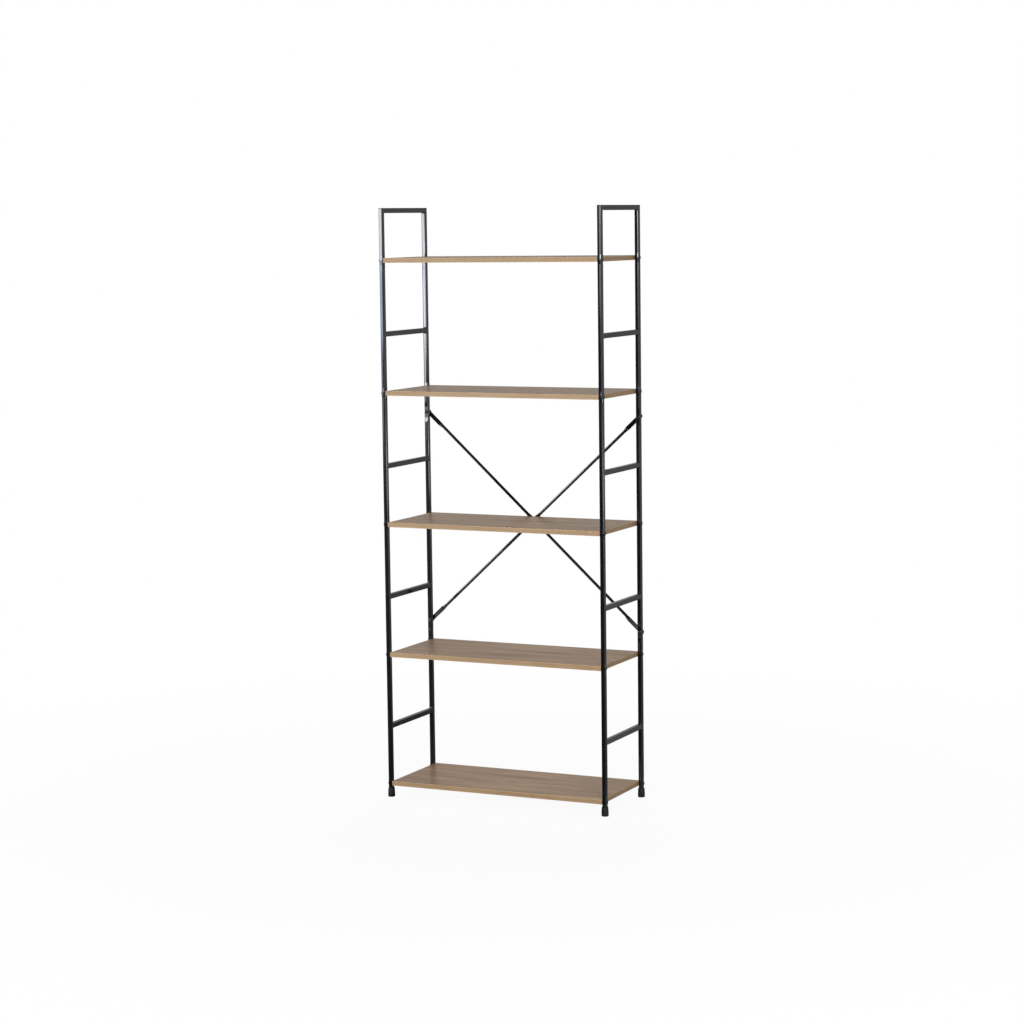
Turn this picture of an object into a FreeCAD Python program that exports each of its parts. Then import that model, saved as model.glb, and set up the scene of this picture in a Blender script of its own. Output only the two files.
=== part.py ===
import FreeCAD, Part
import math
import os

os.makedirs("parts", exist_ok=True)

# Overall frame, in millimetres. X is the width, -Y the front, +Z up, and Z = 0 the floor.
overall_height = 1500.0
post_spacing_x = 596.0
post_spacing_y = 234.0

# Round tube of the four posts
post_diameter = 14.0
post_wall = 1.2

# Square tube of the top bars and rungs, welded between the posts
rail_size = 12.7
rail_wall = 1.0
rail_corner_radius = 1.8
rung_above_shelf = 148.5
weld_radius = 2.5
weld_gap = 0.1

# Shelf boards
shelf_count = 5
lowest_shelf_top = 41.5
posts_above_top_shelf = 124.5
board_thickness = 12.0
board_overhang = 5.5
edging_thickness = 0.8
edging_radius = 0.5
seat_clearance = 0.1

# Flats pressed into the posts where boards and braces are bolted on
press_depth = 1.5
press_run_out_radius = 60.0
press_swell = 0.5
press_swell_reach = 12.0
board_flat_margin = 1.0
brace_flat_on_post = 26.0

# Push-in caps in the post tops
cap_flange = 1.5
cap_rim_radius = 1.0
cap_plug_depth = 12.0
cap_plug_wall = 1.6
plug_fit = 0.1

# Push-on feet
foot_diameter = 18.0
foot_height = 23.0
foot_floor = 3.0
foot_skirt = 9.0
foot_mouth_wall = 0.9
foot_swell = 0.7
foot_edge_radius = 1.8
foot_fit = 0.1

# Button-head bolts, sleeves in the board ends, and cap nuts
bolt_diameter = 6.0
bolt_head_diameter = 10.0
bolt_head_height = 2.0
bolt_head_rim = 0.6
bolt_socket_size = 4.0
bolt_socket_depth = 1.6
bolt_crown_land = 0.6
bolt_dome_bulge = 0.35
bolt_tip_chamfer = 0.8
hole_clearance = 0.4
thread_clearance = 0.1
board_bolt_reach = 18.9
sleeve_diameter = 8.6
sleeve_length = 20.0
sleeve_recess = 0.5
sleeve_fit = 0.05
nut_across_flats = 10.0
nut_height = 5.0
nut_dome_height = 4.0
nut_thread_depth = 7.0

# Crossed brace tubes behind the rear posts
brace_diameter = 7.5
brace_flat_width = 11.2
brace_flat_thickness = 2.0
brace_end_margin = 8.0
brace_end_flat = 46.0
brace_middle_flat = 24.0
brace_taper = 12.0
brace_end_from_shelf = 60.0
brace_below_middle_shelf = 4.0
rivet_diameter = 5.0
rivet_head_diameter = 9.0
rivet_head_height = 1.3
rivet_rim_radius = 0.9

# Values worked out from the driving dimensions
post_radius = post_diameter / 2
post_bore_radius = post_radius - post_wall
post_x = post_spacing_x / 2
flat_at = post_radius - press_depth
brace_radius = brace_diameter / 2
foot_radius = foot_diameter / 2
bolt_radius = bolt_diameter / 2
hole_radius = bolt_radius + hole_clearance / 2
thread_radius = bolt_radius + thread_clearance

# The floor point under the middle of the whole outline, nuts and feet included, is the origin
rear_reach = flat_at + seat_clearance + brace_flat_thickness + nut_height + nut_dome_height
depth_shift = (foot_radius - rear_reach) / 2
front_post_y = depth_shift - post_spacing_y / 2
rear_post_y = depth_shift + post_spacing_y / 2
brace_seat_y = rear_post_y + flat_at

top_shelf_top = overall_height - posts_above_top_shelf
shelf_pitch = (top_shelf_top - lowest_shelf_top) / (shelf_count - 1)
shelf_middles = []
for shelf_index in range(shelf_count):
    shelf_middles.append(top_shelf_top - shelf_pitch * shelf_index - board_thickness / 2)

middle_shelf = shelf_count // 2
brace_centre_z = shelf_middles[middle_shelf] - brace_below_middle_shelf
brace_half_height = shelf_pitch - brace_end_from_shelf
brace_bolt_heights = [brace_centre_z + brace_half_height, brace_centre_z - brace_half_height]
post_sides = [("left", -1), ("right", 1)]

origin = FreeCAD.Vector(0, 0, 0)
x_axis = FreeCAD.Vector(1, 0, 0)
y_axis = FreeCAD.Vector(0, 1, 0)
z_axis = FreeCAD.Vector(0, 0, 1)


def save(node, solids):
    shape = solids[0] if len(solids) == 1 else Part.makeCompound(solids)
    shape.exportStep("parts/" + node + ".step")
    print(node, len(shape.Solids), round(shape.Volume, 1))


def moved(shape, x, y, z):
    return shape.translated(FreeCAD.Vector(x, y, z))


def turned(shape, axis, degrees):
    copy = shape.copy()
    copy.rotate(origin, axis, degrees)
    return copy


def line(start, end):
    return Part.LineSegment(start, end).toShape()


def arc(start, through, end):
    return Part.Arc(start, through, end).toShape()


def face_of(edges):
    return Part.Face(Part.Wire(edges))


def press_tool(tube_radius, flat_distance, run_out_radius, flat_length):
    """Metal-free space of one press stroke on the +X side: a flat that runs out in tangent arcs."""
    reach = tube_radius + press_depth
    sweep = math.acos(1 - (reach - flat_distance) / run_out_radius)
    half_flat = flat_length / 2

    def on_arc(angle, side):
        outward = flat_distance + run_out_radius * (1 - math.cos(angle))
        along = half_flat + run_out_radius * math.sin(angle)
        return FreeCAD.Vector(outward, -reach, side * along)

    low_flat = on_arc(0, -1)
    high_flat = on_arc(0, 1)
    low_end = on_arc(sweep, -1)
    high_end = on_arc(sweep, 1)
    profile = face_of([
        line(low_flat, high_flat),
        arc(high_flat, on_arc(sweep / 2, 1), high_end),
        line(high_end, low_end),
        arc(low_end, on_arc(sweep / 2, -1), low_flat),
    ])
    return profile.extrude(y_axis * (2 * reach))


def swollen_bar(radius, bottom, top, heights):
    """Upright round bar that swells a little at each height, where the press pushed its wall outward."""
    sweep = 2 * math.atan2(press_swell, press_swell_reach)
    bend_radius = press_swell_reach / (2 * math.sin(sweep))

    def at(rise, height):
        return FreeCAD.Vector(radius + rise, 0, height)

    axis_bottom = FreeCAD.Vector(0, 0, bottom)
    axis_top = FreeCAD.Vector(0, 0, top)
    edges = [line(axis_bottom, at(0, bottom))]
    level = at(0, bottom)
    for height in sorted(heights):
        bend_rise = bend_radius * (1 - math.cos(sweep / 2))
        bend_reach = press_swell_reach - bend_radius * math.sin(sweep / 2)
        low_start = at(0, height - press_swell_reach)
        low_middle = at(press_swell / 2, height - press_swell_reach / 2)
        high_middle = at(press_swell / 2, height + press_swell_reach / 2)
        high_end = at(0, height + press_swell_reach)
        edges += [
            line(level, low_start),
            arc(low_start, at(bend_rise, height - bend_reach), low_middle),
            arc(low_middle, at(press_swell, height), high_middle),
            arc(high_middle, at(bend_rise, height + bend_reach), high_end),
        ]
        level = high_end
    edges += [line(level, at(0, top)), line(at(0, top), axis_top), line(axis_top, axis_bottom)]
    return face_of(edges).revolve(origin, z_axis, 360)


def pressed_bar(radius, flat_distance, run_out_radius, bottom, top, stations):
    """Upright round bar with a pair of opposite flats at each station (height, flat length, turn)."""
    tools = []
    for height, flat_length, turn in stations:
        tool = press_tool(radius, flat_distance, run_out_radius, flat_length)
        for half_turn in (0, 180):
            tools.append(moved(turned(tool, z_axis, turn + half_turn), 0, 0, height))
    return swollen_bar(radius, bottom, top, shelf_middles).cut(tools)


def make_post(has_brace):
    board_flat = board_thickness + board_flat_margin
    stations = [(height, board_flat, 0) for height in shelf_middles]
    if has_brace:
        stations += [(height, brace_flat_on_post, 90) for height in brace_bolt_heights]
    top = overall_height - cap_flange
    outside = pressed_bar(post_radius, flat_at, press_run_out_radius, foot_floor, top, stations)
    inside = pressed_bar(post_bore_radius, flat_at - post_wall, press_run_out_radius + post_wall,
                         foot_floor, top, stations)
    bores = []
    for height, flat_length, turn in stations:
        start = FreeCAD.Vector(-post_diameter, 0, 0)
        bore = Part.makeCylinder(hole_radius, 2 * post_diameter, start, x_axis)
        bores.append(moved(turned(bore, z_axis, turn), 0, 0, height))
    return outside.cut([inside] + bores)


def rounded_square_bar(size, corner_radius, length):
    """Square bar along +Y from the origin, centred on its axis, with rounded long edges."""
    box = Part.makeBox(size, length, size, FreeCAD.Vector(-size / 2, 0, -size / 2))
    long_edges = [edge for edge in box.Edges if edge.Vertexes[0].Y != edge.Vertexes[1].Y]
    return box.makeFillet(corner_radius, long_edges)


def make_rail():
    """Square tube between the post axes, its ends coped to the posts and filleted there by the weld."""
    reach = rail_size + 2 * weld_radius

    def post_stubs(radius):
        stub = Part.makeCylinder(radius, 2 * reach, FreeCAD.Vector(0, 0, -reach))
        return [stub, moved(stub, 0, post_spacing_y, 0)]

    bar = rounded_square_bar(rail_size, rail_corner_radius, post_spacing_y)
    welded = bar.fuse(post_stubs(post_radius))
    seams = []
    for edge in welded.Edges:
        from_end = min(edge.CenterOfMass.y, post_spacing_y - edge.CenterOfMass.y)
        if weld_gap < from_end < post_radius:
            seams.append(edge)
    inside_radius = rail_corner_radius - rail_wall
    inside = rounded_square_bar(rail_size - 2 * rail_wall, inside_radius, post_spacing_y)
    rail = welded.makeFillet(weld_radius, seams).cut(post_stubs(post_radius + weld_gap) + [inside])
    return moved(rail, 0, front_post_y, 0)


def make_top_bar():
    """Rail whose weld is ground flush with its top face."""
    rail = make_rail()
    box = rail.BoundBox
    corner = FreeCAD.Vector(box.XMin, box.YMin, rail_size / 2)
    return rail.cut(Part.makeBox(box.XLength, box.YLength, box.ZMax, corner))


def make_cap():
    """Plug with a thin rounded flange, standing on the post's top end at Z = 0."""
    flange = Part.makeCylinder(post_radius, cap_flange)
    rim = [edge for edge in flange.Edges if edge.Closed and edge.CenterOfMass.z > cap_flange / 2]
    flange = flange.makeFillet(cap_rim_radius, rim)
    plug_radius = post_bore_radius - plug_fit
    below = FreeCAD.Vector(0, 0, -cap_plug_depth)
    plug = Part.makeCylinder(plug_radius, cap_plug_depth, below)
    hollow = Part.makeCylinder(plug_radius - cap_plug_wall, cap_plug_depth, below)
    return flange.fuse(plug.cut(hollow)).removeSplitter()


def make_foot():
    """Bell-shaped push-on foot standing on Z = 0, with a pocket for the post."""
    pocket_radius = post_radius + foot_fit
    mouth_radius = pocket_radius + foot_mouth_wall
    edge_side = foot_radius - foot_edge_radius
    diagonal = foot_edge_radius * math.sqrt(0.5)
    waist_height = (foot_skirt + foot_height) / 2
    waist_radius = mouth_radius + (foot_radius - mouth_radius) * foot_swell

    def at(radius, height):
        return FreeCAD.Vector(radius, 0, height)

    edge_middle = at(edge_side + diagonal, foot_edge_radius - diagonal)
    profile = face_of([
        line(at(0, 0), at(edge_side, 0)),
        arc(at(edge_side, 0), edge_middle, at(foot_radius, foot_edge_radius)),
        line(at(foot_radius, foot_edge_radius), at(foot_radius, foot_skirt)),
        arc(at(foot_radius, foot_skirt), at(waist_radius, waist_height), at(mouth_radius, foot_height)),
        line(at(mouth_radius, foot_height), at(pocket_radius, foot_height)),
        line(at(pocket_radius, foot_height), at(pocket_radius, foot_floor)),
        line(at(pocket_radius, foot_floor), at(0, foot_floor)),
        line(at(0, foot_floor), at(0, 0)),
    ])
    return profile.revolve(origin, z_axis, 360)


def hexagon_prism(across_flats, height):
    corner = across_flats / math.sqrt(3)
    points = []
    for step in range(7):
        angle = math.radians(60 * step)
        points.append(FreeCAD.Vector(corner * math.cos(angle), corner * math.sin(angle), 0))
    return Part.Face(Part.makePolygon(points)).extrude(z_axis * height)


def make_bolt(length):
    """Button-head bolt along Z: head above its seat at Z = 0, shank below."""
    head_radius = bolt_head_diameter / 2
    crown_radius = bolt_socket_size / math.sqrt(3) + bolt_crown_land

    def at(radius, height):
        return FreeCAD.Vector(radius, 0, height)

    rim_end = at(head_radius, bolt_head_rim)
    crown_edge = at(crown_radius, bolt_head_height)
    chord = crown_edge - rim_end
    outward = FreeCAD.Vector(chord.z, 0, -chord.x).normalize()
    middle = (rim_end + crown_edge) / 2 + outward * bolt_dome_bulge
    profile = face_of([
        line(at(0, -length), at(bolt_radius - bolt_tip_chamfer, -length)),
        line(at(bolt_radius - bolt_tip_chamfer, -length), at(bolt_radius, bolt_tip_chamfer - length)),
        line(at(bolt_radius, bolt_tip_chamfer - length), at(bolt_radius, 0)),
        line(at(bolt_radius, 0), at(head_radius, 0)),
        line(at(head_radius, 0), rim_end),
        arc(rim_end, middle, crown_edge),
        line(crown_edge, at(0, bolt_head_height)),
        line(at(0, bolt_head_height), at(0, -length)),
    ])
    bolt = profile.revolve(origin, z_axis, 360)
    socket = hexagon_prism(bolt_socket_size, bolt_head_height)
    return bolt.cut(moved(socket, 0, 0, bolt_head_height - bolt_socket_depth))


def make_cap_nut():
    """Domed nut along Z, seated at Z = 0, with a blind thread bore."""
    dome_radius = nut_across_flats / 2
    base = hexagon_prism(nut_across_flats, nut_height)

    def at(radius, height):
        return FreeCAD.Vector(radius, 0, nut_height + height)

    middle = at(dome_radius * math.sqrt(0.5), nut_dome_height * math.sqrt(0.5))
    dome_profile = face_of([
        line(at(0, 0), at(dome_radius, 0)),
        arc(at(dome_radius, 0), middle, at(0, nut_dome_height)),
        line(at(0, nut_dome_height), at(0, 0)),
    ])
    dome = dome_profile.revolve(origin, z_axis, 360)
    bore = Part.makeCylinder(thread_radius, nut_thread_depth)
    return base.fuse(dome).removeSplitter().cut(bore)


def board_half_length():
    return post_x - flat_at - seat_clearance


def board_half_depth():
    return post_spacing_y / 2 + board_overhang


def sleeve_bores(radius):
    """Bores along X at the four bolt places of one board, from beyond each end inwards."""
    bores = []
    for side in (-1, 1):
        for y in (front_post_y, rear_post_y):
            start = FreeCAD.Vector(side * (board_half_length() + post_diameter), y, 0)
            length = post_diameter + sleeve_recess + sleeve_length
            bores.append(Part.makeCylinder(radius, length, start, x_axis * -side))
    return bores


def make_board():
    half_length = board_half_length() - edging_thickness
    half_depth = board_half_depth() - edging_thickness
    corner = FreeCAD.Vector(-half_length, depth_shift - half_depth, -board_thickness / 2)
    board = Part.makeBox(2 * half_length, 2 * half_depth, board_thickness, corner)
    return board.cut(sleeve_bores(sleeve_diameter / 2 + sleeve_fit))


def edging_strip(length):
    """Edge strip along X with its back on Y = 0 and its rounded face towards -Y."""
    corner = FreeCAD.Vector(-length / 2, -edging_thickness, -board_thickness / 2)
    strip = Part.makeBox(length, edging_thickness, board_thickness, corner)
    outer_edges = []
    for edge in strip.Edges:
        middle = edge.CenterOfMass
        if abs(middle.x) < edging_thickness and middle.y < -edging_thickness / 2 and middle.z != 0:
            outer_edges.append(edge)
    return strip.makeFillet(edging_radius, outer_edges)


def make_edging():
    long_strip = edging_strip(2 * board_half_length())
    short_strip = edging_strip(2 * (board_half_depth() - edging_thickness))
    long_reach = board_half_depth() - edging_thickness
    short_reach = board_half_length() - edging_thickness
    front = moved(long_strip, 0, depth_shift - long_reach, 0)
    rear = moved(turned(long_strip, z_axis, 180), 0, depth_shift + long_reach, 0)
    bores = sleeve_bores(sleeve_diameter / 2 + sleeve_fit)
    right = moved(turned(short_strip, z_axis, 90), short_reach, depth_shift, 0).cut(bores)
    left = moved(turned(short_strip, z_axis, -90), -short_reach, depth_shift, 0).cut(bores)
    return [front, rear, left, right]


def make_sleeve():
    """Threaded sleeve along Z, its mouth at Z = 0 and its body below."""
    below = FreeCAD.Vector(0, 0, -sleeve_length)
    body = Part.makeCylinder(sleeve_diameter / 2, sleeve_length, below)
    return body.cut(Part.makeCylinder(thread_radius, sleeve_length, below))


def flat_oval(width, thickness, middle_y, s):
    """Section of the flattened tube across X = s: two flats and two folded round edges."""
    straight = (width - thickness) / 2
    half = thickness / 2

    def at(y, z):
        return FreeCAD.Vector(s, middle_y + y, z)

    return Part.Wire([
        line(at(-half, -straight), at(-half, straight)),
        arc(at(-half, straight), at(0, straight + half), at(half, straight)),
        line(at(half, straight), at(half, -straight)),
        arc(at(half, -straight), at(0, -straight - half), at(-half, -straight)),
    ])


def half_flat_oval(width, thickness, middle_y, s):
    """Upper half of that section, which turns about Y into a rounded tip."""
    straight = (width - thickness) / 2
    half = thickness / 2

    def at(y, z):
        return FreeCAD.Vector(s, middle_y + y, z)

    return face_of([
        line(at(-half, 0), at(-half, straight)),
        arc(at(-half, straight), at(0, straight + half), at(half, straight)),
        line(at(half, straight), at(half, 0)),
        line(at(half, 0), at(-half, 0)),
    ])


def round_section(radius, middle_y, s):
    """Round section across X = s, split at the same four places as the flattened one."""
    def at(degrees):
        angle = math.radians(degrees)
        return FreeCAD.Vector(s, middle_y + radius * math.cos(angle), radius * math.sin(angle))

    return Part.Wire([
        arc(at(225), at(180), at(135)),
        arc(at(135), at(90), at(45)),
        arc(at(45), at(0), at(-45)),
        arc(at(-45), at(-90), at(-135)),
    ])


def brace_half_span():
    return math.hypot(post_x, brace_half_height)


def make_half_brace(middle_y):
    """Brace from its rivet at X = 0 to its end bolt, front of the end flat on Y = 0, closed inside."""
    half = brace_flat_thickness / 2
    half_middle_flat = brace_middle_flat / 2
    span = brace_half_span()
    tip_middle = span + brace_end_margin - brace_flat_width / 2
    end_start = span - brace_end_flat
    round_start = half_middle_flat + brace_taper
    round_end = end_start - brace_taper

    def flat(y, start, end):
        section = Part.Face(flat_oval(brace_flat_width, brace_flat_thickness, y, start))
        return section.extrude(x_axis * (end - start))

    def taper(y, flat_s, round_s):
        flat_wire = flat_oval(brace_flat_width, brace_flat_thickness, y, flat_s)
        round_wire = round_section(brace_radius, brace_radius, round_s)
        return Part.makeLoft([flat_wire, round_wire], True, True)

    tip_section = half_flat_oval(brace_flat_width, brace_flat_thickness, half, tip_middle)
    tip = tip_section.revolve(FreeCAD.Vector(tip_middle, 0, 0), y_axis, 180)
    round_stretch = Part.makeCylinder(brace_radius, round_end - round_start,
                                      FreeCAD.Vector(round_start, brace_radius, 0), x_axis)
    pieces = [
        taper(middle_y, half_middle_flat, round_start),
        round_stretch,
        taper(half, end_start, round_end),
        flat(half, end_start, tip_middle),
        tip,
    ]
    bolt_hole = Part.makeCylinder(hole_radius, brace_diameter, FreeCAD.Vector(span, 0, 0), y_axis)
    return flat(middle_y, 0, half_middle_flat).fuse(pieces).cut(bolt_hole)


def make_brace(middle_y, slope):
    """Whole brace tube in its place; slope is 1 where its left end is the upper one."""
    half = make_half_brace(middle_y)
    rivet_hole = Part.makeCylinder(rivet_diameter / 2 + thread_clearance, 2 * brace_diameter,
                                   FreeCAD.Vector(0, -brace_diameter / 2, 0), y_axis)
    bar = half.fuse(half.mirror(origin, x_axis)).removeSplitter()
    brace = bar.cut(rivet_hole)
    angle = math.degrees(math.atan2(brace_half_height, post_x))
    return moved(turned(brace, y_axis, slope * angle), 0, brace_seat_y + seat_clearance, brace_centre_z)


def make_rivet():
    """Rivet along +Y through both middle flats, with a shallow head on each side."""
    grip = 2 * brace_flat_thickness
    shank_start = FreeCAD.Vector(0, brace_radius - brace_flat_thickness, 0)
    shank = Part.makeCylinder(rivet_diameter / 2, grip, shank_start, y_axis)
    head = Part.makeCylinder(rivet_head_diameter / 2, rivet_head_height, origin, y_axis)
    rim = [edge for edge in head.Edges if edge.Closed and edge.CenterOfMass.y > rivet_head_height / 2]
    head = head.makeFillet(rivet_rim_radius, rim)
    rear_head = moved(head, 0, brace_radius + brace_flat_thickness, 0)
    front_head = moved(turned(head, z_axis, 180), 0, brace_radius - brace_flat_thickness, 0)
    rivet = shank.fuse([rear_head, front_head]).removeSplitter()
    return moved(rivet, 0, brace_seat_y + seat_clearance, brace_centre_z)


def build_side_frames():
    front_post = make_post(False)
    rear_post = make_post(True)
    rail = make_rail()
    top_bar = make_top_bar()
    for name, side in post_sides:
        x = side * post_x
        save(name + "_front_post", [moved(front_post, x, front_post_y, 0)])
        save(name + "_rear_post", [moved(rear_post, x, rear_post_y, 0)])
        save(name + "_top_bar", [moved(top_bar, x, 0, overall_height - rail_size / 2)])
        for rung in range(shelf_count - 1):
            height = shelf_middles[rung + 1] + rung_above_shelf
            save(name + "_rung_" + str(rung + 1), [moved(rail, x, 0, height)])


def build_caps_and_feet():
    cap = make_cap()
    foot = make_foot()
    for name, side in post_sides:
        for place, y in (("front", front_post_y), ("rear", rear_post_y)):
            x = side * post_x
            save(name + "_" + place + "_cap", [moved(cap, x, y, overall_height - cap_flange)])
            save(name + "_" + place + "_foot", [moved(foot, x, y, 0)])


def build_shelves():
    board = make_board()
    edging = make_edging()
    for index, height in enumerate(shelf_middles):
        name = "shelf_" + str(index + 1)
        save(name + "_board", [moved(board, 0, 0, height)])
        save(name + "_edging", [moved(strip, 0, 0, height) for strip in edging])


def build_shelf_fasteners():
    length = flat_at * 2 + seat_clearance + board_bolt_reach
    bolt = make_bolt(length)
    sleeve = make_sleeve()
    bolts = []
    sleeves = []
    for height in shelf_middles:
        for side in (-1, 1):
            for y in (front_post_y, rear_post_y):
                head_x = side * (post_x + flat_at)
                mouth_x = side * (board_half_length() - sleeve_recess)
                bolts.append(moved(turned(bolt, y_axis, 90 * side), head_x, y, height))
                sleeves.append(moved(turned(sleeve, y_axis, 90 * side), mouth_x, y, height))
    save("shelf_bolts", bolts)
    save("shelf_bolt_sleeves", sleeves)


def build_braces():
    save("brace_tube_front", [make_brace(brace_radius - brace_flat_thickness / 2, 1)])
    save("brace_tube_rear", [make_brace(brace_radius + brace_flat_thickness / 2, -1)])
    save("brace_rivet", [make_rivet()])
    grip = flat_at * 2 + seat_clearance + brace_flat_thickness
    bolt = turned(make_bolt(grip + nut_thread_depth - thread_clearance), x_axis, 90)
    nut = turned(make_cap_nut(), x_axis, -90)
    bolts = []
    nuts = []
    nut_y = brace_seat_y + seat_clearance + brace_flat_thickness
    for height in brace_bolt_heights:
        for name, side in post_sides:
            bolts.append(moved(bolt, side * post_x, rear_post_y - flat_at, height))
            nuts.append(moved(nut, side * post_x, nut_y, height))
    save("brace_bolts", bolts)
    save("brace_cap_nuts", nuts)


build_side_frames()
build_caps_and_feet()
build_shelves()
build_shelf_fasteners()
build_braces()
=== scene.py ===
import bpy
import math
from mathutils import Matrix, Vector


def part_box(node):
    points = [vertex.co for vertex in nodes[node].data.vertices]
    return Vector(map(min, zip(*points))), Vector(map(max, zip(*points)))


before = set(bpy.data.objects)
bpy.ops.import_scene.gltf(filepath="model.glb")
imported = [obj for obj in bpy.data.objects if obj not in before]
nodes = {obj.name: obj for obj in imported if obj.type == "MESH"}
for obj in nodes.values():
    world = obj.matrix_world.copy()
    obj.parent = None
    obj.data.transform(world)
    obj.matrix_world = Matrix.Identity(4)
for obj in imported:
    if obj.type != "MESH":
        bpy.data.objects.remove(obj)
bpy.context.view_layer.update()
millimetre = 0.001
noiseLow, noiseHigh = 0.3, 0.7      # nearly all of a noise pattern lies between these
print("frame loaded with", len(nodes), "pieces")


def linearColour(hexCode):  # sRGB hex to the linear colour that shaders take
    channels = [int(hexCode[i:i + 2], 16) / 255 for i in (1, 3, 5)]
    return [c / 12.92 if c <= 0.04045 else ((c + 0.055) / 1.055) ** 2.4 for c in channels] + [1.0]


def addNode(tree, kind, settings=None, **sockets):  # socket names are written with _ for a space
    node = tree.nodes.new(kind)
    for name, value in (settings or {}).items():
        setattr(node, name, value)
    for name, value in sockets.items():
        place = int(name[3:]) if name.startswith("in_") else name.replace("_", " ")
        if isinstance(value, bpy.types.NodeSocket):
            tree.links.new(value, node.inputs[place])
        else:
            node.inputs[place].default_value = value
    return node


def newMaterial(name):
    material = bpy.data.materials.new(name)
    material.use_nodes = True
    material.node_tree.nodes.clear()
    return material, material.node_tree


def perMillimetre(size):  # texture scale at which one feature of the pattern is that many millimetres
    return 1 / (size * millimetre)


def setRamp(ramp, stops):  # stops are (position, hex colour) from left to right
    elements = ramp.color_ramp.elements
    while len(elements) < len(stops):
        elements.new(1.0)
    for element, (position, hexCode) in zip(elements, stops):
        element.position = position
        element.color = linearColour(hexCode)


def pick(*words):  # pieces whose name holds one of the words
    return [name for name in nodes if any(word in name for word in words)]


def without(names, piece):
    return [name for name in names if name != piece]


steelTubes = pick("_post", "_top_bar", "_rung_", "brace_tube")
leftFrame = pick("left_")
rightFrame = pick("right_")
braces = pick("brace_")
boards = pick("_board")
edgeBands = pick("_edging")
fasteners = pick("shelf_bolts", "brace_bolts", "brace_cap_nuts", "brace_rivet")
sleeves = pick("shelf_bolt_sleeves")
plasticPieces = pick("_foot", "front_cap", "rear_cap")
steelPieces = steelTubes + fasteners
woodPieces = boards + edgeBands


# Camera: the photograph's own viewpoint
cameraSettings = {
    "place": (2.8352, -5.9794, 1.4713),
    "turn": 25.396,      # degrees to the left of straight ahead
    "dip": 6.372,        # degrees down
    "roll": -0.72,
    "lens": 92.56, "sensor": 36.0,      # mm
}


def placeCamera(settings):
    turn, dip, roll = (math.radians(settings[key]) for key in ("turn", "dip", "roll"))
    ahead = Vector((-math.sin(turn) * math.cos(dip), math.cos(turn) * math.cos(dip), -math.sin(dip)))
    level = Vector((math.cos(turn), math.sin(turn), 0))
    upright = level.cross(ahead)
    right = level * math.cos(roll) + upright * math.sin(roll)
    up = upright * math.cos(roll) - level * math.sin(roll)
    data = bpy.data.cameras.new("photoCamera")
    data.lens = settings["lens"]
    data.sensor_width = settings["sensor"]
    camera = bpy.data.objects.new("photoCamera", data)
    bpy.context.scene.collection.objects.link(camera)
    facing = Matrix((right, up, -ahead)).transposed().to_4x4()
    camera.matrix_world = Matrix.Translation(settings["place"]) @ facing
    bpy.context.scene.camera = camera


placeCamera(cameraSettings)
bpy.context.scene.view_settings.view_transform = "Standard"
print("camera placed")


# Room that gloss shows: white to the right, greyer behind, dim in front and to the left. Each wall has its
# strength, the way to it, and the cosines between which it fades in
roomSettings = {
    "dim": 0.06,
    "right": 1.05, "rightWay": (0.985, 0.17, 0), "rightFrom": 0.5, "rightTo": 0.9,
    "back": 0.4, "backWay": (-0.35, 0.94, 0), "backFrom": 0.2, "backTo": 1.0,
    "soft": 0.25,      # even light on matt surfaces
}


def roomShade(tree, direction, settings):
    total = settings["dim"]
    for wall in ("right", "back"):
        facing = addNode(tree, "ShaderNodeVectorMath", {"operation": "DOT_PRODUCT"},
                         in_0=direction, in_1=Vector(settings[wall + "Way"]))
        shade = addNode(tree, "ShaderNodeMapRange", {"interpolation_type": "SMOOTHSTEP"},
                        Value=facing.outputs["Value"],
                        From_Min=settings[wall + "From"], From_Max=settings[wall + "To"],
                        To_Min=0.0, To_Max=settings[wall])
        total = addNode(tree, "ShaderNodeMath", {"operation": "ADD"},
                        in_0=total, in_1=shade.outputs["Result"]).outputs[0]
    return total


def lightWorld(settings):
    world = bpy.data.worlds.new("studio")
    bpy.context.scene.world = world
    world.use_nodes = True
    tree = world.node_tree
    tree.nodes.clear()
    path = addNode(tree, "ShaderNodeLightPath").outputs
    seen = addNode(tree, "ShaderNodeMath", {"operation": "MAXIMUM"},
                   in_0=path["Is Camera Ray"], in_1=path["Is Transmission Ray"])
    direction = addNode(tree, "ShaderNodeTexCoord").outputs["Generated"]
    white = addNode(tree, "ShaderNodeBackground", Strength=1.0)
    soft = addNode(tree, "ShaderNodeBackground", Strength=settings["soft"])
    room = addNode(tree, "ShaderNodeBackground", Strength=roomShade(tree, direction, settings))
    for background in (white, soft, room):
        background.inputs["Color"].default_value = (1, 1, 1, 1)
    unseen = addNode(tree, "ShaderNodeMixShader",
                     in_0=path["Is Glossy Ray"], in_1=soft.outputs[0], in_2=room.outputs[0])
    shown = addNode(tree, "ShaderNodeMixShader",
                    in_0=seen.outputs[0], in_1=unseen.outputs[0], in_2=white.outputs[0])
    addNode(tree, "ShaderNodeOutputWorld", Surface=shown.outputs[0])


# Floor: pale paint that keeps the shadow near the unit and runs into the white background further off;
# distances are in metres from the middle
floorSettings = {
    "size": 30.0, "colour": "#F4F4F2",
    "nearWhite": 0.95, "fadeFrom": 0.5, "fadeTo": 2.2,
    "nearGloss": 0.35, "glossFrom": 0.4, "glossTo": 5.0,      # gloss shows it darker close to the unit
}


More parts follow.
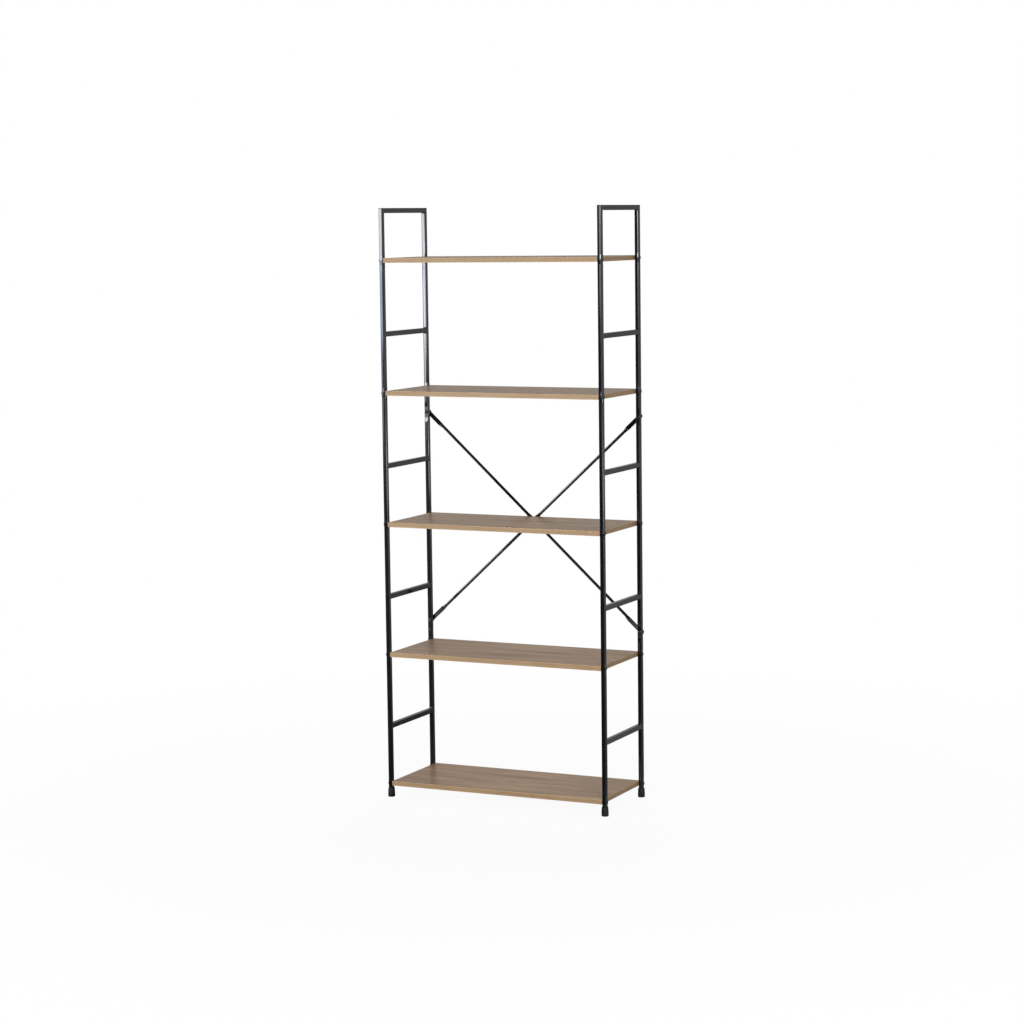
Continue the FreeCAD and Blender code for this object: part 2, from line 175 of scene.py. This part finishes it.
def layFloor(settings):
    bpy.ops.object.select_all(action="DESELECT")
    bpy.ops.mesh.primitive_plane_add(size=settings["size"], location=(0, 0, 0))
    floor = bpy.context.object
    floor.name = "floor"
    material, tree = newMaterial("studioFloor")
    path = addNode(tree, "ShaderNodeLightPath").outputs
    place = addNode(tree, "ShaderNodeTexCoord").outputs["Object"]
    distance = addNode(tree, "ShaderNodeVectorMath", {"operation": "LENGTH"}, in_0=place)
    way = addNode(tree, "ShaderNodeVectorMath", {"operation": "NORMALIZE"}, in_0=place)
    fade = addNode(tree, "ShaderNodeMapRange", {"interpolation_type": "SMOOTHSTEP"},
                   Value=distance.outputs["Value"],
                   From_Min=settings["fadeFrom"], From_Max=settings["fadeTo"],
                   To_Min=settings["nearWhite"], To_Max=1.0)
    seen = addNode(tree, "ShaderNodeMath", {"operation": "MAXIMUM"},
                   in_0=path["Is Camera Ray"], in_1=path["Is Transmission Ray"])
    share = addNode(tree, "ShaderNodeMath", {"operation": "MULTIPLY"},
                    in_0=seen.outputs[0], in_1=fade.outputs["Result"])
    paint = addNode(tree, "ShaderNodeBsdfDiffuse", Color=linearColour(settings["colour"]))
    white = addNode(tree, "ShaderNodeEmission", Strength=1.0)
    glossShare = addNode(tree, "ShaderNodeMapRange", Value=distance.outputs["Value"],
                         From_Min=settings["glossFrom"], From_Max=settings["glossTo"],
                         To_Min=settings["nearGloss"], To_Max=1.0)
    glossShade = addNode(tree, "ShaderNodeMath", {"operation": "MULTIPLY"},
                         in_0=glossShare.outputs["Result"],
                         in_1=roomShade(tree, way.outputs["Vector"], roomSettings))
    room = addNode(tree, "ShaderNodeEmission", Strength=glossShade.outputs[0])
    lit = addNode(tree, "ShaderNodeMixShader",
                  in_0=path["Is Glossy Ray"], in_1=paint.outputs[0], in_2=room.outputs[0])
    shown = addNode(tree, "ShaderNodeMixShader",
                    in_0=share.outputs[0], in_1=lit.outputs[0], in_2=white.outputs[0])
    addNode(tree, "ShaderNodeOutputMaterial", Surface=shown.outputs[0])
    floor.data.materials.append(material)


# Soft boxes, in metres and watts; "only" names the pieces that a box lights, "not" the ones it leaves dark,
# and "gloss" off keeps it out of reflections
softBoxes = {
    "headBox": {"place": (2.75, -4.1, 2.03), "target": (0.3, 0, 2.03), "size": (2.6, 1.0),
                "power": 190, "only": rightFrame + fasteners},
    "shelfBox": {"place": (3.1, -3.85, 1.91), "target": (0.3, 0, 1.91), "size": (1.0, 0.98),
                 "power": 92, "only": woodPieces, "gloss": False},
    "keyBox": {"place": (2.75, -4.1, 1.28), "target": (0.3, 0, 1.28), "size": (2.4, 0.48),
               "power": 12, "only": without(steelPieces, "left_front_post")},
    "lowKeyBox": {"place": (2.9, -4.0, 0.66), "target": (0.3, 0, 0.66), "size": (2.4, 0.76),
                  "power": 7, "only": steelPieces},
    "kickBox": {"place": (4.21, -2.22, 0.36), "target": (0.3, 0, 0.36), "size": (1.0, 0.3),
                "power": 11, "only": without(steelPieces, "right_rear_post")},
    "veilBox": {"place": (0.1, -4.52, 1.6), "target": (0.3, 0, 1.6), "size": (2.5, 1.0),
                "power": 47, "colour": "#CDD4FF", "only": without(rightFrame, "right_rear_post")},
    "stepBox": {"place": (-1.7, -1.2, 0.02), "target": (-1.7, -1.2, 1.0), "size": (2.6, 2.2),
                "power": 60, "only": braces},
    "paneBox": {"place": (-2.06, -1.13, 1.58), "target": (0.1, 0.12, 0.8), "size": (1.6, 1.0),
                "power": 80, "colour": "#EEF3FF", "only": braces},
    "fillBox": {"place": (-1.9, -3.7, 0.85), "target": (0, 0, 0.9), "size": (1.4, 1.2),
                "power": 60, "only": woodPieces},
    "topBox": {"place": (0.6, -5.6, 3.6), "target": (0, 0, 0.8), "size": (2.2, 1.4),
               "power": 76, "not": braces},
    "backBox": {"place": (-1.6, 4.2, 3.3), "target": (0, 0, 0.8), "size": (2.4, 1.6),
                "power": 110, "gloss": False},
    "windowBox": {"place": (-1.2, -1.8, 1.83), "target": (-0.3, 0, 1.83), "size": (5.6, 1.0),
                  "power": 285, "colour": "#F6F8FF", "only": leftFrame},
    "sashBox": {"place": (-1.8, -1.48, 1.2), "target": (-0.9, 0.31, 1.2), "size": (4.4, 0.27),
                "power": 37, "colour": "#D9EAFF", "only": leftFrame},
    "casementBox": {"place": (-1.43, -1.53, 1.1), "target": (-0.3, 0.11, 1.1), "size": (2.7, 0.38),
                    "power": 32, "only": ["left_rear_post"]},
    "transomBox": {"place": (0.4, -2.27, 1.2), "target": (-0.3, 0.11, 1.2), "size": (2.2, 0.42),
                   "power": 30, "colour": "#F6F8FF", "only": ["left_rear_post"]},
    "jambBox": {"place": (3.1, -3.28, 1.38), "target": (0.3, 0.11, 1.38), "size": (2.4, 0.25),
                "power": 12, "colour": "#EEF3FF", "only": ["right_rear_post"]},
    "sillBox": {"place": (-2.38, -1.19, 0.89), "target": (-1.48, 0.6, 0.89), "size": (3.0, 0.34),
                "power": 12, "colour": "#DCE6FA", "only": leftFrame},
}


def hangSoftBox(name, settings):
    data = bpy.data.lights.new(name, "AREA")
    data.shape = "RECTANGLE"
    data.size, data.size_y = settings["size"]
    data.energy = settings["power"]
    data.color = linearColour(settings.get("colour", "#FFFFFF"))[:3]
    lamp = bpy.data.objects.new(name, data)
    bpy.context.scene.collection.objects.link(lamp)
    place = Vector(settings["place"])
    aim = Vector(settings["target"]) - place
    lamp.matrix_world = Matrix.Translation(place) @ aim.to_track_quat("-Z", "Y").to_matrix().to_4x4()
    lamp.visible_camera = False
    lamp.visible_glossy = settings.get("gloss", True)
    for key, state in (("only", "INCLUDE"), ("not", "EXCLUDE")):
        if key in settings:
            linked = bpy.data.collections.new(name + "Pieces")
            for piece in settings[key]:
                linked.objects.link(nodes[piece])
            for member in linked.collection_objects:
                member.light_linking.link_state = state
            lamp.light_linking.receiver_collection = linked


layFloor(floorSettings)
lightWorld(roomSettings)
for name, settings in softBoxes.items():
    hangSoftBox(name, settings)
print("studio lit with", len(softBoxes), "soft boxes")


def dress(names, material):
    for name in names:
        slots = nodes[name].data.materials
        slots.clear()
        slots.append(material)
    print(material.name, "on", len(names), "pieces")


# Gloss black powder coat on steel: a deep shine, faintly pebbled where the powder flowed together
powderCoat = {
    "deep": "#0A0B0D", "light": "#101215",
    "smooth": 0.08, "dull": 0.12, "ior": 1.5,
    "cloud": 35.0, "cloudDetail": 3.0,      # roughness drifts over patches this wide, in mm
    "pebble": 6.0, "pebbleDetail": 1.0, "pebbleDepth": 0.001,      # drawn coarser than the real 1 mm
}


def glossPowderCoat(settings):
    material, tree = newMaterial("glossPowderCoat")
    place = addNode(tree, "ShaderNodeTexCoord").outputs["Object"]
    clouds = addNode(tree, "ShaderNodeTexNoise", Vector=place,
                     Scale=perMillimetre(settings["cloud"]), Detail=settings["cloudDetail"])
    pebbles = addNode(tree, "ShaderNodeTexNoise", Vector=place,
                      Scale=perMillimetre(settings["pebble"]), Detail=settings["pebbleDetail"])
    shine = addNode(tree, "ShaderNodeMapRange", Value=clouds.outputs["Fac"],
                    From_Min=noiseLow, From_Max=noiseHigh,
                    To_Min=settings["smooth"], To_Max=settings["dull"])
    tone = addNode(tree, "ShaderNodeValToRGB", Fac=clouds.outputs["Fac"])
    setRamp(tone, [(noiseLow, settings["deep"]), (noiseHigh, settings["light"])])
    bump = addNode(tree, "ShaderNodeBump", Height=pebbles.outputs["Fac"], Strength=1.0,
                   Distance=settings["pebbleDepth"] * millimetre)
    paint = addNode(tree, "ShaderNodeBsdfPrincipled", Base_Color=tone.outputs["Color"],
                    Roughness=shine.outputs["Result"], IOR=settings["ior"], Normal=bump.outputs["Normal"])
    addNode(tree, "ShaderNodeOutputMaterial", Surface=paint.outputs[0])
    return material


# Black polyethylene, moulded: soft dull sheen with a fine spark-eroded grain
mouldedPolyethylene = {
    "deep": "#0E0F10", "light": "#151618", "smooth": 0.42, "dull": 0.56, "ior": 1.51, "specular": 0.3,
    "flow": 9.0, "flowDetail": 3.0,      # mm
    "grain": 0.9, "grainDetail": 1.0, "grainDepth": 0.02,      # real grain is about 0.3 mm, drawn coarser
}


def blackPolyethylene(settings):
    material, tree = newMaterial("mouldedPolyethylene")
    place = addNode(tree, "ShaderNodeTexCoord").outputs["Object"]
    flow = addNode(tree, "ShaderNodeTexNoise", Vector=place,
                   Scale=perMillimetre(settings["flow"]), Detail=settings["flowDetail"])
    grain = addNode(tree, "ShaderNodeTexNoise", Vector=place,
                    Scale=perMillimetre(settings["grain"]), Detail=settings["grainDetail"])
    tone = addNode(tree, "ShaderNodeValToRGB", Fac=flow.outputs["Fac"])
    setRamp(tone, [(noiseLow, settings["deep"]), (noiseHigh, settings["light"])])
    shine = addNode(tree, "ShaderNodeMapRange", Value=flow.outputs["Fac"],
                    From_Min=noiseLow, From_Max=noiseHigh,
                    To_Min=settings["smooth"], To_Max=settings["dull"])
    bump = addNode(tree, "ShaderNodeBump", Height=grain.outputs["Fac"], Strength=1.0,
                   Distance=settings["grainDepth"] * millimetre)
    plastic = addNode(tree, "ShaderNodeBsdfPrincipled", Base_Color=tone.outputs["Color"],
                      Roughness=shine.outputs["Result"], IOR=settings["ior"],
                      Specular_IOR_Level=settings["specular"], Normal=bump.outputs["Normal"])
    addNode(tree, "ShaderNodeOutputMaterial", Surface=plastic.outputs[0])
    return material


# Steel with black lacquer: bolts, nuts and the rivet, a shade duller than the tubes, in rubbed patches
lacqueredSteel = {
    "deep": "#0C0D0E", "rubbed": "#1D1E20", "rubbedFrom": 0.45, "rubbedTo": 0.75,
    "smooth": 0.2, "dull": 0.34, "ior": 1.5,
    "patch": 3.0, "patchDetail": 4.0, "pebble": 1.2, "pebbleDetail": 1.0, "pebbleDepth": 0.008,      # mm
}


def blackLacqueredSteel(settings):
    material, tree = newMaterial("blackLacqueredSteel")
    place = addNode(tree, "ShaderNodeTexCoord").outputs["Object"]
    patches = addNode(tree, "ShaderNodeTexNoise", Vector=place,
                      Scale=perMillimetre(settings["patch"]), Detail=settings["patchDetail"])
    pebbles = addNode(tree, "ShaderNodeTexNoise", Vector=place,
                      Scale=perMillimetre(settings["pebble"]), Detail=settings["pebbleDetail"])
    tone = addNode(tree, "ShaderNodeValToRGB", Fac=patches.outputs["Fac"])
    setRamp(tone, [(settings["rubbedFrom"], settings["deep"]), (settings["rubbedTo"], settings["rubbed"])])
    shine = addNode(tree, "ShaderNodeMapRange", Value=patches.outputs["Fac"],
                    From_Min=noiseLow, From_Max=noiseHigh,
                    To_Min=settings["smooth"], To_Max=settings["dull"])
    bump = addNode(tree, "ShaderNodeBump", Height=pebbles.outputs["Fac"], Strength=1.0,
                   Distance=settings["pebbleDepth"] * millimetre)
    lacquer = addNode(tree, "ShaderNodeBsdfPrincipled", Base_Color=tone.outputs["Color"],
                      Roughness=shine.outputs["Result"], IOR=settings["ior"],
                      Normal=bump.outputs["Normal"])
    addNode(tree, "ShaderNodeOutputMaterial", Surface=lacquer.outputs[0])
    return material


# Zinc-plated steel: bright bluish grey with cloudy passivation
zincPlate = {
    "cool": "#B4BAC2", "warm": "#C9C6B8", "coolTo": 0.35, "warmFrom": 0.7,
    "smooth": 0.28, "dull": 0.45, "cloud": 4.0, "cloudDetail": 3.0,      # mm
}


def zincPlatedSteel(settings):
    material, tree = newMaterial("zincPlatedSteel")
    place = addNode(tree, "ShaderNodeTexCoord").outputs["Object"]
    clouds = addNode(tree, "ShaderNodeTexNoise", Vector=place,
                     Scale=perMillimetre(settings["cloud"]), Detail=settings["cloudDetail"])
    tone = addNode(tree, "ShaderNodeValToRGB", Fac=clouds.outputs["Fac"])
    setRamp(tone, [(settings["coolTo"], settings["cool"]), (settings["warmFrom"], settings["warm"])])
    shine = addNode(tree, "ShaderNodeMapRange", Value=clouds.outputs["Fac"],
                    From_Min=noiseLow, From_Max=noiseHigh,
                    To_Min=settings["smooth"], To_Max=settings["dull"])
    zinc = addNode(tree, "ShaderNodeBsdfPrincipled", Base_Color=tone.outputs["Color"], Metallic=1.0,
                   Roughness=shine.outputs["Result"])
    addNode(tree, "ShaderNodeOutputMaterial", Surface=zinc.outputs[0])
    return material


# Oak, as printed on the foil and the edge bands: growth rings cut flat, streaks and open pores along
# the grain; lengths are in mm
wavePeriod = math.pi / 10      # spacing of the rings of a wave texture whose scale is 1
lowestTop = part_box("shelf_5_board")[1][2]
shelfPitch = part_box("shelf_4_board")[1][2] - lowestTop
oakGrain = {
    "ring": 6.5, "ringShare": 0.12, "ringWobble": 1.5, "wobbleDetail": 3.0, "wobbleScale": 2.0,
    "sway": 60.0, "swayLong": 420.0, "swayWide": 200.0, "swayDetail": 2.0,          # rings wander sideways
    "depth": 95.0, "depthLong": 650.0, "depthWide": 400.0, "depthDetail": 1.0,      # and rise and sink
    "bandLong": 320.0, "bandWide": 16.0, "bandDetail": 3.0,
    "fibreLong": 90.0, "fibreWide": 4.0, "fibreDetail": 2.0, "fibreShare": 0.35,    # drawn coarser
    "poreLong": 26.0, "poreWide": 2.0, "poreDetail": 1.0, "poreFrom": 0.58, "poreTo": 0.72,
    "darkAt": 0.34, "midAt": 0.5, "paleAt": 0.66,
    "lotShift": 3.0, "lotSide": 0.12,      # metres: each shelf is cut from another stretch of the print
}


def shelfPlace(tree, height):  # the shelf, counted from the floor, and the height over its top in metres
    step = addNode(tree, "ShaderNodeMath", {"operation": "MULTIPLY_ADD"},
                   in_0=height, in_1=1 / shelfPitch, in_2=0.5 - lowestTop / shelfPitch)
    shelf = addNode(tree, "ShaderNodeMath", {"operation": "FLOOR"}, in_0=step.outputs[0])
    share = addNode(tree, "ShaderNodeMath", {"operation": "FRACT"}, in_0=step.outputs[0])
    over = addNode(tree, "ShaderNodeMath", {"operation": "MULTIPLY_ADD"},
                   in_0=share.outputs[0], in_1=shelfPitch, in_2=-0.5 * shelfPitch)
    return shelf.outputs[0], over.outputs[0]


def oakPrint(tree, place, settings, tones):  # X of the place runs along the grain
    parts = addNode(tree, "ShaderNodeSeparateXYZ", Vector=place).outputs
    shelf, over = shelfPlace(tree, parts["Z"])
    lot = addNode(tree, "ShaderNodeTexWhiteNoise", {"noise_dimensions": "1D"}, W=shelf)
    lotParts = addNode(tree, "ShaderNodeSeparateXYZ", Vector=lot.outputs["Color"]).outputs
    along = addNode(tree, "ShaderNodeMath", {"operation": "MULTIPLY_ADD"},
                    in_0=lotParts["X"], in_1=settings["lotShift"], in_2=parts["X"])
    side = addNode(tree, "ShaderNodeMath", {"operation": "ADD"}, in_0=over, in_1=parts["Y"])
    across = addNode(tree, "ShaderNodeMath", {"operation": "MULTIPLY_ADD"},
                     in_0=lotParts["Y"], in_1=settings["lotSide"], in_2=side.outputs[0])
    grain = addNode(tree, "ShaderNodeCombineXYZ", X=along.outputs[0], Y=across.outputs[0], Z=shelf)

    def streaks(long, wide, detail):
        stretched = addNode(tree, "ShaderNodeMapping", Vector=grain.outputs[0],
                            Scale=(perMillimetre(long), perMillimetre(wide), 1))
        noise = addNode(tree, "ShaderNodeTexNoise", Vector=stretched.outputs[0], Scale=1.0, Detail=detail)
        return noise.outputs["Fac"]

    swayNoise = streaks(settings["swayLong"], settings["swayWide"], settings["swayDetail"])
    sway = addNode(tree, "ShaderNodeMath", {"operation": "MULTIPLY_ADD"},
                   in_0=swayNoise, in_1=settings["sway"] * millimetre, in_2=parts["Y"])
    depthNoise = streaks(settings["depthLong"], settings["depthWide"], settings["depthDetail"])
    depth = addNode(tree, "ShaderNodeMath", {"operation": "MULTIPLY"},
                    in_0=depthNoise, in_1=settings["depth"] * millimetre)
    log = addNode(tree, "ShaderNodeCombineXYZ", Y=sway.outputs[0], Z=depth.outputs[0])
    rings = addNode(tree, "ShaderNodeTexWave",
                    {"wave_type": "RINGS", "rings_direction": "X", "wave_profile": "SAW"},
                    Vector=log.outputs[0],
                    Scale=wavePeriod * perMillimetre(settings["ring"]), Distortion=settings["ringWobble"],
                    Detail=settings["wobbleDetail"], Detail_Scale=settings["wobbleScale"])
    bands = streaks(settings["bandLong"], settings["bandWide"], settings["bandDetail"])
    fibres = streaks(settings["fibreLong"], settings["fibreWide"], settings["fibreDetail"])
    poreNoise = streaks(settings["poreLong"], settings["poreWide"], settings["poreDetail"])
    figure = addNode(tree, "ShaderNodeMix", {"data_type": "FLOAT"},
                     in_0=settings["fibreShare"], in_2=bands, in_3=fibres)
    figured = addNode(tree, "ShaderNodeMix", {"data_type": "FLOAT"},
                      in_0=settings["ringShare"], in_2=figure.outputs[0], in_3=rings.outputs["Fac"])
    tone = addNode(tree, "ShaderNodeValToRGB", Fac=figured.outputs[0])
    setRamp(tone, [(settings[shade + "At"], tones[shade]) for shade in ("dark", "mid", "pale")])
    pores = addNode(tree, "ShaderNodeMapRange", Value=poreNoise,
                    From_Min=settings["poreFrom"], From_Max=settings["poreTo"],
                    To_Min=0.0, To_Max=tones["poreShare"])
    colour = addNode(tree, "ShaderNodeMix", {"data_type": "RGBA"}, in_0=pores.outputs["Result"],
                     in_6=tone.outputs["Color"], in_7=linearColour(tones["pore"]))
    return colour.outputs[2], fibres, pores.outputs["Result"]


# Decor foil on the boards: satin, with brown streaks and the pores lightly embossed
oakFoil = {
    "pale": "#C1A480", "mid": "#A48361", "dark": "#7B5C40", "pore": "#60472E", "poreShare": 0.45,
    "smooth": 0.28, "dull": 0.38, "ior": 1.45, "poreDepth": 0.05,      # mm
}


def oakDecorFoil(settings):
    material, tree = newMaterial("oakDecorFoil")
    place = addNode(tree, "ShaderNodeTexCoord").outputs["Object"]
    colour, fibres, pores = oakPrint(tree, place, oakGrain, settings)
    shine = addNode(tree, "ShaderNodeMapRange", Value=fibres, From_Min=noiseLow, From_Max=noiseHigh,
                    To_Min=settings["smooth"], To_Max=settings["dull"])
    bump = addNode(tree, "ShaderNodeBump", {"invert": True}, Height=pores, Strength=1.0,
                   Distance=settings["poreDepth"] * millimetre)
    foil = addNode(tree, "ShaderNodeBsdfPrincipled", Base_Color=colour,
                   Roughness=shine.outputs["Result"], IOR=settings["ior"], Normal=bump.outputs["Normal"])
    addNode(tree, "ShaderNodeOutputMaterial", Surface=foil.outputs[0])
    return material


# Edge band: the same print with quieter streaks, its grain along each strip, and a painted highlight that
# makes its top and bottom arrises paler
oakBand = {
    "pale": "#AB8F6E", "mid": "#A58867", "dark": "#9D8060", "pore": "#8F7254", "poreShare": 0.12,
    "smooth": 0.36, "dull": 0.44, "ior": 1.45, "specular": 0.3,
    # painted highlight: the paler colour on the top and bottom arrises, fading in between these distances
    "arrisHighlight": "#C2A683", "arrisHighlightFrom": 4.0, "arrisHighlightTo": 6.0,      # mm from the middle of the edge
    "halfThick": 6.0,      # mm from the board's top to that middle
    "endFacing": 0.5,      # a strip whose face turns this far to the side lies on an end
}


def oakEdgeBand(settings):
    material, tree = newMaterial("oakEdgeBand")
    place = addNode(tree, "ShaderNodeTexCoord").outputs["Object"]
    normal = addNode(tree, "ShaderNodeNewGeometry").outputs["True Normal"]
    facing = addNode(tree, "ShaderNodeSeparateXYZ", Vector=normal).outputs["X"]
    sideways = addNode(tree, "ShaderNodeMath", {"operation": "ABSOLUTE"}, in_0=facing)
    onEnds = addNode(tree, "ShaderNodeMath", {"operation": "GREATER_THAN"},
                     in_0=sideways.outputs[0], in_1=settings["endFacing"])
    turned = addNode(tree, "ShaderNodeMapping", Vector=place, Rotation=(0, 0, math.pi / 2))
    along = addNode(tree, "ShaderNodeMix", {"data_type": "VECTOR"}, in_0=onEnds.outputs[0],
                    in_4=place, in_5=turned.outputs[0])
    colour, fibres = oakPrint(tree, along.outputs[1], oakGrain, settings)[:2]
    height = addNode(tree, "ShaderNodeSeparateXYZ", Vector=place).outputs["Z"]
    overTop = shelfPlace(tree, height)[1]
    overMiddle = addNode(tree, "ShaderNodeMath", {"operation": "ADD"},
                         in_0=overTop, in_1=settings["halfThick"] * millimetre)
    offMiddle = addNode(tree, "ShaderNodeMath", {"operation": "ABSOLUTE"}, in_0=overMiddle.outputs[0])
    # painted highlight: a paler colour mixed in towards the top and bottom arrises, away from the middle of
    # the edge
    arrisHighlight = addNode(tree, "ShaderNodeMapRange", {"interpolation_type": "SMOOTHSTEP"},
                    Value=offMiddle.outputs[0],
                    From_Min=settings["arrisHighlightFrom"] * millimetre, From_Max=settings["arrisHighlightTo"] * millimetre)
    highlighted = addNode(tree, "ShaderNodeMix", {"data_type": "RGBA"}, in_0=arrisHighlight.outputs["Result"],
                      in_6=colour, in_7=linearColour(settings["arrisHighlight"]))
    shine = addNode(tree, "ShaderNodeMapRange", Value=fibres, From_Min=noiseLow, From_Max=noiseHigh,
                    To_Min=settings["smooth"], To_Max=settings["dull"])
    band = addNode(tree, "ShaderNodeBsdfPrincipled", Base_Color=highlighted.outputs[2],
                   Roughness=shine.outputs["Result"], IOR=settings["ior"],
                   Specular_IOR_Level=settings["specular"])
    addNode(tree, "ShaderNodeOutputMaterial", Surface=band.outputs[0])
    return material


dress(steelTubes, glossPowderCoat(powderCoat))
dress(plasticPieces, blackPolyethylene(mouldedPolyethylene))
dress(fasteners, blackLacqueredSteel(lacqueredSteel))
dress(sleeves, zincPlatedSteel(zincPlate))
dress(boards, oakDecorFoil(oakFoil))
dress(edgeBands, oakEdgeBand(oakBand))
